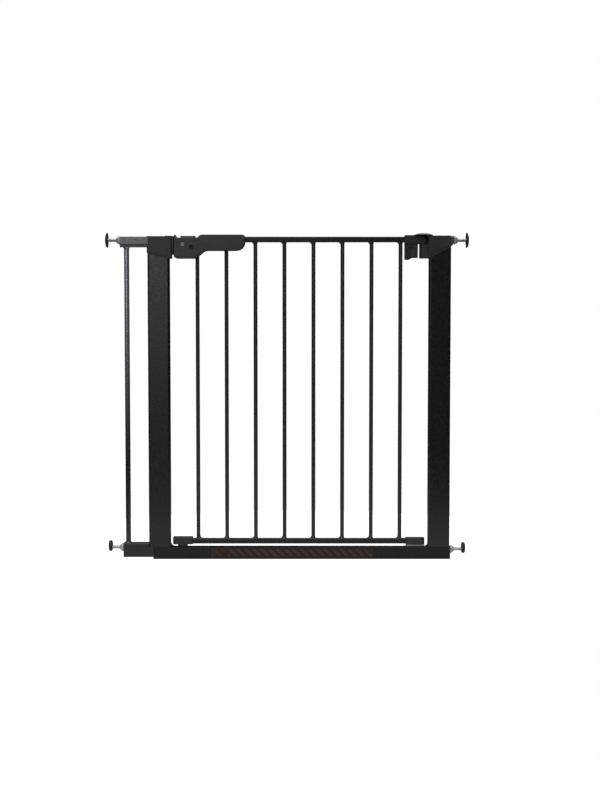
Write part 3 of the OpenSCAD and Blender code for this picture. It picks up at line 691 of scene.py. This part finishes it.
def thread_radius(side):
    """Reshapes a lathe's rings into a thread; side is -1 for the left rods, 1 for the right."""
    def shape(radius, distance, angle):
        turn = (distance / PITCH * side - angle / (2 * math.pi)) % 1.0
        ridge = min(1.0, max(0.0, 1.35 - 2.7 * abs(turn - 0.5)))
        return radius - THREAD_DEPTH * (1 - ridge)
    return shape


def threaded_rod(name, side):
    """A rod with a chamfer at both ends and eight rings of points to each turn of its thread."""
    low, high = box(name)
    z = (low.z + high.z) / 2
    steps = int((high.x - low.x) / PITCH * 8)
    profile = [(ROD_R - 0.7, low.x)]
    profile += [(ROD_R, x) for x in spread(low.x + 0.4, high.x - 0.4, steps)]
    profile += [(ROD_R - 0.7, high.x)]
    return solid(add_lathe, (0, 0, z), "x", profile, 28, radius_at=thread_radius(side))


def hex_radius(radius, distance, angle):
    """The smaller of a cone's radius and a 16.5 mm hexagon's."""
    flat_half = 8.25
    turn = (math.degrees(angle) + 30) % 60 - 30
    return min(radius, flat_half / math.cos(math.radians(turn)))


NUT_NECK = 4.9                                        # up to this radius the nut is round, past it hexagonal


def nut_shape(name, side):
    """A hexagonal nut with a cone towards the wall; side is -1 on the left, 1 on the right."""
    low, high = box(name)
    z = (low.z + high.z) / 2
    seat = low.x if side > 0 else high.x
    outer = [(NUT_NECK, 0), (8.6, 0), (9.4, 0.5), (9.53, 0.9), (9.53, 3.0), (9.2, 3.5), (8.55, 4.3),
             (7.8, 5.2), (7.05, 6.1), (6.3, 7.0), (5.6, 7.85), (5.1, 8.6), (4.7, 9.0), (4.3, 9.0)]
    profile = [(bore, 0.6)] + outer + [(bore, 8.5)]

    def shape(radius, distance, angle):
        return radius if radius <= NUT_NECK else hex_radius(radius, distance, angle)

    return solid(add_lathe, (0, 0, z), "x", [(r, seat + side * t) for r, t in profile], 96, ring=True,
                 radius_at=shape)


def face_ring(r, pitch):
    """Height of the rings moulded in a pad's wall face, with a flat disc in the middle."""
    return RING_HEIGHT * (0.5 - 0.5 * math.cos(2 * math.pi * r / pitch)) if r > pitch else 0.0


def upper_pad_profile():
    """(radius, distance from the wall): ringed wall face, curled rim, hub."""
    face_r, ring_pitch = 13.5, 2.7
    face = []
    for r in spread(0.0, face_r, 28):
        face.append((r, 0.1 + 2.0 * (r / face_r) ** 2.4 + face_ring(r, ring_pitch)))
    rim = [(14.8, 2.7), (16.0, 3.4), (16.9, 4.1), (17.3, 4.8), (17.2, 5.4), (16.7, 5.8), (15.9, 5.85),
           (15.1, 5.6), (13.8, 5.1), (12.0, 4.7), (9.5, 4.5), (7.4, 4.5), (6.0, 4.8),
           (5.3, 5.4), (5.0, 6.2), (4.6, 6.5), (0.0, 6.5)]
    return face + rim


def lower_pad_profile():
    """(radius, distance from the wall): ringed wall face, thick round side, a groove in the back."""
    face = [(r, face_ring(r, 2.25)) for r in spread(0.0, 9.0, 24)]
    side = [(10.2, 0.25), (11.4, 1.0), (12.2, 2.1), (12.6, 3.6), (12.6, 5.4), (12.3, 6.5), (11.5, 7.4),
            (10.3, 7.9), (8.6, 8.0), (8.2, 7.6), (7.8, 7.6), (7.4, 8.15), (0.0, 8.2)]
    return face + side


for level in ("top", "bottom"):
    for hand, side in (("left", -1), ("right", 1)):
        spot = f"{level}_{hand}"
        piece(f"threaded_rod_{spot}", threaded_rod(f"rod_{spot}", side), f"spindle_{spot}",
              thread_steel, [f"rod_{spot}"], sharp=50)
        piece(f"clamp_nut_{spot}", nut_shape(f"nut_{spot}", side), f"nut_{spot}", nut_steel,
              [f"nut_{spot}"], sharp=24)
        low, high = box(f"pad_{spot}")
        wall_x = high.x if side > 0 else low.x
        shape = upper_pad_profile() if level == "top" else lower_pad_profile()
        profile = [(r, wall_x - side * t) for r, t in shape]
        pad = solid(add_lathe, (0, 0, (low.z + high.z) / 2), "x", profile, 72)
        piece(f"wall_pad_{spot}", pad, f"spindle_{spot}", pad_rubber, [f"pad_{spot}"],
              sharp=50)

# ---- hinge mouldings on the leaf ----

arm_low, arm_high = box("hinge_arm")
arm_r = arm_high.x - hinge_x
taper_from, taper_to = hinge_x - 27, hinge_x - 2      # between them the arm narrows to its round end
outline = [(arm_low.x, arm_low.y), (taper_from, arm_low.y), (taper_to, -arm_r)]
outline += [(hinge_x + arm_r * math.sin(a), -arm_r * math.cos(a)) for a in spread(0.15, math.pi - 0.15, 28)]
outline += [(taper_to, arm_r), (taper_from, arm_high.y), (arm_low.x, arm_high.y)]
body = solid(add_prism, "z", outline, arm_low.z, arm_high.z, 0.8, 1.2)
bush_room = cylinder("z", (hinge_x, 0, 0), BAR_ROOM, arm_low.z - 1, arm_high.z - 0.3, 40)
NOTCH_HEIGHT = 6.8
NOTCH_START = 1.3                                     # past the hinge axis
notch_z = arm_high.z - NOTCH_HEIGHT
notch = solid(add_prism, "z", [(hinge_x + x, y) for x, y in (
    (NOTCH_START, -arm_r - 1), (arm_r + 1, -arm_r - 1), (arm_r + 1, -0.3), (5.3, -0.3), (5.3, -5.3),
    (NOTCH_START, -5.3))], notch_z, arm_high.z + 1, 0, 0)
arm_room = rail_room(rail_top, 0.1, arm_low.x - 1, hinge_x - 20)
arm = piece("hinge_arm_moulding", carve(body, [bush_room, notch, arm_room]), "leaf",
            leaf_plastic, ["hinge_arm"])


def in_notch(spot):
    """True on the inner faces of the notch, and not on the arm's own round side."""
    inside = math.hypot(spot.x - hinge_x, spot.y) < arm_r - 0.1
    return inside and spot.x > hinge_x + 1.2 and spot.z > notch_z - 0.1 and spot.y < -0.2


# the notch's inner faces in painted shade
repaint(arm, recess_shade_paint, in_notch)

dome_low, dome_high = box("hinge_cap")
dome_r = dome_high.y
dome_h = dome_high.z - dome_low.z
CROWN_FROM = 1.2                                      # height of the dome's upright edge
profile = [(0, dome_low.z), (dome_r - 0.35, dome_low.z), (dome_r, dome_low.z + 0.3),
           (dome_r, dome_low.z + 1.0)]
for t in spread(0.975, 0.0, 20):
    crown = dome_low.z + CROWN_FROM + (dome_h - CROWN_FROM) * (1 - t ** 2.6) ** 0.9
    rim_drop = 0.35 if t > 0.72 else 0.0
    profile.append((dome_r * t * 0.99, crown - rim_drop))
dome = solid(add_lathe, (hinge_x, 0, 0), "z", profile, 80)
piece("hinge_dome", dome, "leaf", dome_lightened_plastic, ["hinge_cap"])

leg_low, leg_high = box("hinge_leg")
leg = solid(add_prism, "y", rounded([
    (leg_low.x, leg_low.z, 2.3), (leg_low.x + 10, leg_low.z, 3.0), (leg_low.x + 16.5, leg_low.z + 4.2, 3.5),
    (leg_high.x, leg_low.z + 4.2, 2.3), (leg_high.x, leg_high.z, 0), (leg_low.x, leg_high.z, 0)], 5),
    leg_low.y, leg_high.y, 1.5, 1.5)
scoop_x = (leg_low.x + leg_high.x) / 2 - 1
scoop_r, scoop_y = 23, 31
scoop_top = leg_high.z - 4
scoops = []
for sign in (-1, 1):
    scoops.append(solid(add_lathe, (scoop_x, sign * scoop_y, 0), "z", [
        (scoop_r, leg_low.z - 6), (scoop_r, scoop_top - 8), (scoop_r - 0.5, scoop_top - 4),
        (scoop_r - 2, scoop_top)], 96))
GROOVE_HEIGHT, GROOVE_DEPTH = 1.5, 1.3                # the shadow line between the leg and the arm
groove_z, groove_y = leg_high.z - GROOVE_HEIGHT, leg_high.y - GROOVE_DEPTH
groove_outline = rounded_box(leg_low.x - 1, leg_high.x + 1, groove_z, leg_high.z + 1, 0.2, 2)
for sign in (-1, 1):
    y0, y1 = sorted((sign * groove_y, sign * (groove_y + 3)))
    scoops.append(solid(add_prism, "y", groove_outline, y0, y1, 0, 0))
leg = piece("hinge_leg_moulding", carve(leg, scoops), "leaf", leaf_plastic, ["hinge_leg"])
# the groove's faces in painted shade: the shadow line under the arm
repaint(leg, recess_shade_paint, lambda spot: spot.z > groove_z - 0.1 and abs(spot.y) < leg_high.y - 0.1)

block_low, block_high = box("lower_hinge_block")
end_r = block_high.y
end_mid = hinge_x - 3                                 # middle of the block's round end
outline = [(block_low.x, -end_r), (end_mid, -end_r)]
outline += [(end_mid + end_r * math.sin(a), -end_r * math.cos(a)) for a in spread(0.12, math.pi - 0.12, 22)]
outline += [(end_mid, end_r), (block_low.x, end_r)]
block = solid(add_prism, "z", outline, block_low.z, block_high.z, 0.9, 1.8)
bush_room = cylinder("z", (hinge_x, 0, 0), BAR_ROOM, block_low.z - 1, block_low.z + 13, 40)
block_room = rail_room(rail_low, 0.1, block_low.x - 1, hinge_x - 17)
piece("lower_hinge_moulding", carve(block, [bush_room, block_room]), "leaf", leaf_plastic,
      ["lower_hinge_block"])

seat_low, seat_high = box("lower_hinge_seat")
seat_top, pin_room = seat_high.z, 3.02
plate = solid(add_prism, "z", rounded_box(seat_low.x, hinge_x + 5.5, seat_low.y, seat_high.y, 3.5),
              box("threshold_bar")[1].z, seat_top, 0.2, 0.9)
plate_hole = cylinder("z", (hinge_x, 0, 0), pin_room, seat_low.z + 1.5, seat_top + 1, 40)
boss = solid(add_lathe, (hinge_x, 0, 0), "z", [
    (pin_room, seat_low.z + 1.5), (4.6, seat_low.z), (5.3, seat_low.z + 0.8), (5.3, seat_top - 3),
    (pin_room, seat_top - 3)], 48, ring=True)
piece("lower_hinge_seat_plate", join(carve(plate, [plate_hole]), boss), "frame",
      seat_plastic, ["lower_hinge_seat"])

foot_low, foot_high = box("latch_foot")
sole_z = rail_low[0].z - 1.3
foot_outline = rounded_box(foot_low.x, foot_high.x, foot_low.y, foot_high.y, 2.8)
foot = solid(add_prism, "z", foot_outline, sole_z, foot_high.z, 0.9, 1.8)
PEDESTAL_LENGTH = 23.4                                # at its flared top, which runs up into the foot
WAIST = 1.6                                           # height where the pedestal starts to flare
flare_x = foot_low.x + 10.5
flare_end = flare_x + PEDESTAL_LENGTH
pedestal = solid(add_prism, "y", [
    (flare_x + 1.5, foot_low.z), (flare_x + 21.9, foot_low.z), (flare_x + 22.2, foot_low.z + WAIST),
    (flare_end, sole_z), (flare_end, sole_z + 1.5), (flare_x, sole_z + 1.5), (flare_x, sole_z),
    (flare_x + 1.2, foot_low.z + WAIST)], foot_low.y + 2, foot_high.y - 2, 0.6, 0.6)
piece("latch_foot_moulding", join(foot, pedestal), "leaf", leaf_plastic, ["latch_foot"])

# ---- handle, drawn along and up from its lower left corner ----

hand_low, hand_high = box("handle_front")
HX, HZ = hand_low.x, hand_low.z
hand_half = -hand_low.y
WALL = 2.5
body_h, grip_low, grip_top = 46.1, 17.3, 52.8
grip_end = hand_high.x - hand_low.x
BOSSES = [(40.3, 24.2), (15.0, 7.5), (86.2, 26.6), (142.7, 27.6)]    # screws; the first is behind the dimple
HANDLE = rounded([
    (0, 0, 8.0), (49.2, 0, 5.0), (69.45, grip_low, 7.0), (grip_end, grip_low, 24.0),
    (grip_end, grip_top, 7.5), (59.7, grip_top, 3.0), (53.3, body_h, 2.4), (0, body_h, 3.8)], 8)


def at_handle(points):
    """Points of the handle's own drawing, in the gate's axes."""
    return [(HX + x, HZ + z) for x, z in points]


def handle_half(face_y):
    """Half of the handle's shell, its outer face at face_y: rounded rim, seam groove, hollow behind."""
    side = 1 if face_y > 0 else -1
    rim, seam, seam_depth = 3.4, 0.35, 0.45
    split = 0.02                                      # keeps the two halves' faces from lying in one plane
    steps = 7
    rings = []
    for k in range(steps + 1):
        a = math.pi / 2 * k / steps
        rings.append(on_axis("y", at_handle(inset(HANDLE, rim * 0.72 * (1 - math.sin(a)))),
                             face_y - side * rim * (1 - math.cos(a))))
    for distance, y in (
            (0, side * (seam + seam_depth)), (seam_depth, side * seam), (seam_depth, side * split),
            (WALL, side * split), (WALL, face_y - side * WALL)):
        outline = inset(HANDLE, distance) if distance else HANDLE
        rings.append(on_axis("y", at_handle(outline), y))
    return solid(add_loft, rings)


def handle_openings():
    """Where the bolt, the slide's neck, two bars and the rail pass through the shell."""
    neck_slot = rounded_box(HX + 13, HX + 31.2, -4.3, 4.3, 1.2, 3)
    bar_x = [sum(c.x for c in box(name)) / 2 for name in ("bar_1", "bar_2")]
    grip_z = HZ + grip_low
    return [
        bolt_room(BOLT_GAP_HANDLE, 0.6, HX - 1, HX + WALL + 1),
        solid(add_prism, "z", neck_slot, HZ + body_h - WALL - 1, HZ + body_h + 1, 0, 0),
        cylinder("z", (bar_x[0], 0, 0), BAR_ROOM, HZ - 1, HZ + WALL + 4, 36),
        cylinder("z", (bar_x[1], 0, 0), BAR_ROOM, grip_z - 2, grip_z + WALL + 4, 36),
        rail_room(rail_top, 0.3, HX + grip_end - WALL - 1, HX + grip_end + 1, 4),
    ]


dimple_r, dimple_depth = 5.6, 1.6
ball_r = (dimple_r ** 2 + dimple_depth ** 2) / (2 * dimple_depth)
ball_y = -hand_half + dimple_depth - ball_r
ball = solid(add_lathe, (HX + BOSSES[0][0], ball_y, HZ + BOSSES[0][1]), "y",
             [(ball_r * math.sin(a), -ball_r * math.cos(a)) for a in spread(0.02, math.pi - 0.02, 40)], 72)
tile_low, tile_high = box("indicator")
tile_gap = 0.15
tile_outline = rounded_box(tile_low.x - tile_gap, tile_high.x + tile_gap, tile_low.z - tile_gap,
                           tile_high.z + tile_gap, 0.7, 3)
tile_seat = solid(add_prism, "y", tile_outline, -hand_half - 1, -hand_half + 1.0, 0, 0)


def tooth(y0, y1, edge_low, edge_high):
    """The wedge beside the thumb slide that stops it."""
    outline = rounded([
        (0.0, 43.0, 0), (7.4, 44.0, 0), (7.4, body_h, 1.0), (3.4, grip_top, 1.2), (1.0, grip_top, 0.9),
        (0.0, 50.0, 0.8)], 4)
    return solid(add_prism, "y", at_handle(outline), y0, y1, edge_low, edge_high)


front = carve(handle_half(-hand_half), handle_openings() + [ball, tile_seat])
shell = piece("handle_shell_front", join(front, tooth(-9, 0, 0.5, 0)), "leaf",
              handle_plastic, ["handle_front"])
dimple = Vector((HX + BOSSES[0][0], -hand_half, HZ + BOSSES[0][1]))


def in_dimple(spot):
    return (spot - dimple).length < dimple_r + 0.2 and spot.y > 0.01 - hand_half


# the dimple's faces in painted shade
repaint(shell, dimple_shade_paint, in_dimple)
wells = [cylinder("y", (HX + x, 0, HZ + z), 3.6, hand_half - 2.4, hand_half + 1, 40) for x, z in BOSSES]
rear = carve(handle_half(hand_half), handle_openings() + wells)
piece("handle_shell_rear", join(rear, tooth(0, 9, 0, 0.5)), "leaf", handle_plastic,
      ["handle_rear"])
piece("handle_screw_set", screws([(HX + x, HZ + z) for x, z in BOSSES], hand_half - 2.5, 3.3, 2.0, 30),
      "leaf", screw_steel, ["handle_screws"])

tile = solid(add_prism, "y", rounded_box(tile_low.x, tile_high.x, tile_low.z, tile_high.z, 0.8, 4),
             tile_low.y, tile_high.y, 0.25, 0)
tile_x, tile_z = (tile_low.x + tile_high.x) / 2, (tile_low.z + tile_high.z) / 2
LINE_HALF = 0.3                                       # half the width of the tile's cross lines
lines = []
for x0, x1, z0, z1 in ((tile_x - LINE_HALF, tile_x + LINE_HALF, tile_low.z - 1, tile_high.z + 1),
                       (tile_low.x - 1, tile_high.x + 1, tile_z - LINE_HALF, tile_z + LINE_HALF)):
    outline = rounded_box(x0, x1, z0, z1, 0.1, 2)
    lines.append(solid(add_prism, "y", outline, tile_low.y - 1, tile_low.y + 0.4, 0, 0))
piece("indicator_tile", carve(tile, lines), "leaf", tile_grey, ["indicator"])

# ---- thumb slide ----

slide_low, slide_high = box("thumb_slide")
pad_base = HZ + body_h + 0.3
RIB_PITCH, RIB_HEIGHT = 3.4, 0.9
RIBS_FROM, RIBS_TO = 2.0, 5.5                         # plain ends of the slide: its left and its right
top_line = []
for x in spread(slide_high.x - RIBS_TO, slide_low.x + RIBS_FROM, 73):
    wave = 0.5 - 0.5 * math.cos(2 * math.pi * (x - slide_low.x - RIBS_FROM) / RIB_PITCH)
    top_line.append((x, slide_high.z - RIB_HEIGHT * wave))
outline = [(slide_low.x, pad_base), (slide_high.x, pad_base), (slide_high.x, pad_base + 0.9),
           (slide_high.x - 0.9, pad_base + 2.2), (slide_high.x - 2.2, slide_high.z - 0.7),
           (slide_high.x - 3.4, slide_high.z)]
outline += top_line + [(slide_low.x + 0.8, slide_high.z - 0.2), (slide_low.x, slide_high.z - 1.0)]
rider = solid(add_prism, "y", outline, slide_low.y, slide_high.y, 0.5, 0.5, steps=3)
neck_outline = rounded_box(slide_low.x + 5.9, slide_low.x + 15.9, -4, 4, 0.8, 3)
neck = solid(add_prism, "z", neck_outline, slide_low.z, pad_base + 0.4, 0, 0)
piece("thumb_slide_pad", join(rider, neck), "lock", slide_plastic, ["thumb_slide"],
      sharp=50)

# ---- floor, light and camera ----

FLOOR_RADIUS = 0.8
FLOOR_BELOW = 0.0005                                  # keeps the floor out of the gate's lowest faces
FLOOR_GLOW = 0.42                                     # for every ray but the camera's
SURROUND = 0.014                                      # the backdrop, for the same rays
SUN_SPREAD, SUN_TILT = 100, 14                        # degrees


def area_light(name, place, aim, width, height, power):
    """A rectangle of light at place, facing aim, that the camera does not see."""
    data = bpy.data.lights.new(name, "AREA")
    data.shape = "RECTANGLE"
    data.size, data.size_y = width, height
    data.energy = power
    obj = bpy.data.objects.new(name, data)
    obj.location = place
    obj.rotation_euler = (Vector(aim) - Vector(place)).to_track_quat("-Z", "Y").to_euler()
    obj.visible_camera = False
    bpy.context.scene.collection.objects.link(obj)


def floor():
    """A round floor, as white to the camera as the backdrop past its edge."""
    bm = bmesh.new()
    bmesh.ops.create_circle(bm, cap_ends=True, segments=96, radius=FLOOR_RADIUS)
    mesh = bpy.data.meshes.new("floor")
    bm.to_mesh(mesh)
    bm.free()
    f = Finish("floor_white", 0.9, specular=0.1)
    f.feed("Base Color", f.mix(f.remap(f.noise(3, 2), 0.3, 0.7, 0.0, 1.0), grey(0.26), grey(0.28)))
    f.shader.inputs["Emission Color"].default_value = grey(1.0)
    from_camera = f.add("LightPath").outputs["Is Camera Ray"]
    f.feed("Emission Strength", f.remap(from_camera, 0.0, 1.0, FLOOR_GLOW, 1.0))
    mesh.materials.append(f.material)
    obj = bpy.data.objects.new("floor", mesh)
    obj.location.z = -FLOOR_BELOW
    bpy.context.scene.collection.objects.link(obj)


floor()
sun = bpy.data.lights.new("overhead", "SUN")
sun.energy = 3.5
sun.angle = math.radians(SUN_SPREAD)
overhead = bpy.data.objects.new("overhead", sun)
overhead.rotation_euler = (math.radians(SUN_TILT), 0, 0)
bpy.context.scene.collection.objects.link(overhead)
area_light("key", (-1.15, -3.9, 1.45), (-0.3, 0, 0.55), 1.5, 1.9, 24)
area_light("back", (0.7, 2.6, 2.3), (0, 0, 0.35), 1.6, 1.6, 18)
area_light("fill", (2.6, -2.2, 1.8), (0.2, 0, 0.5), 0.5, 1.2, 2.5)

world = bpy.data.worlds.new("studio")
bpy.context.scene.world = world
world.use_nodes = True
sky = world.node_tree
backdrop = sky.nodes["Background"]
backdrop.inputs["Color"].default_value = grey(1.0)
dim = sky.nodes.new("ShaderNodeBackground")
dim.inputs["Color"].default_value = grey(SURROUND)
chosen = sky.nodes.new("ShaderNodeMixShader")
light_path = sky.nodes.new("ShaderNodeLightPath")
sky.links.new(light_path.outputs["Is Camera Ray"], chosen.inputs[0])
sky.links.new(dim.outputs[0], chosen.inputs[1])
sky.links.new(backdrop.outputs[0], chosen.inputs[2])
sky.links.new(chosen.outputs[0], sky.nodes["World Output"].inputs["Surface"])
bpy.context.scene.view_settings.view_transform = "Standard"

EYE = Vector((0.0017, -3.1, 0.538))
TARGET = Vector((0.0017, 0, 0.3614))
camera_data = bpy.data.cameras.new("camera")
camera_data.lens = 61.73
camera = bpy.data.objects.new("camera", camera_data)
camera.location = EYE
camera.rotation_euler = (TARGET - EYE).to_track_quat("-Z", "Y").to_euler()
bpy.context.scene.collection.objects.link(camera)
bpy.context.scene.camera = camera
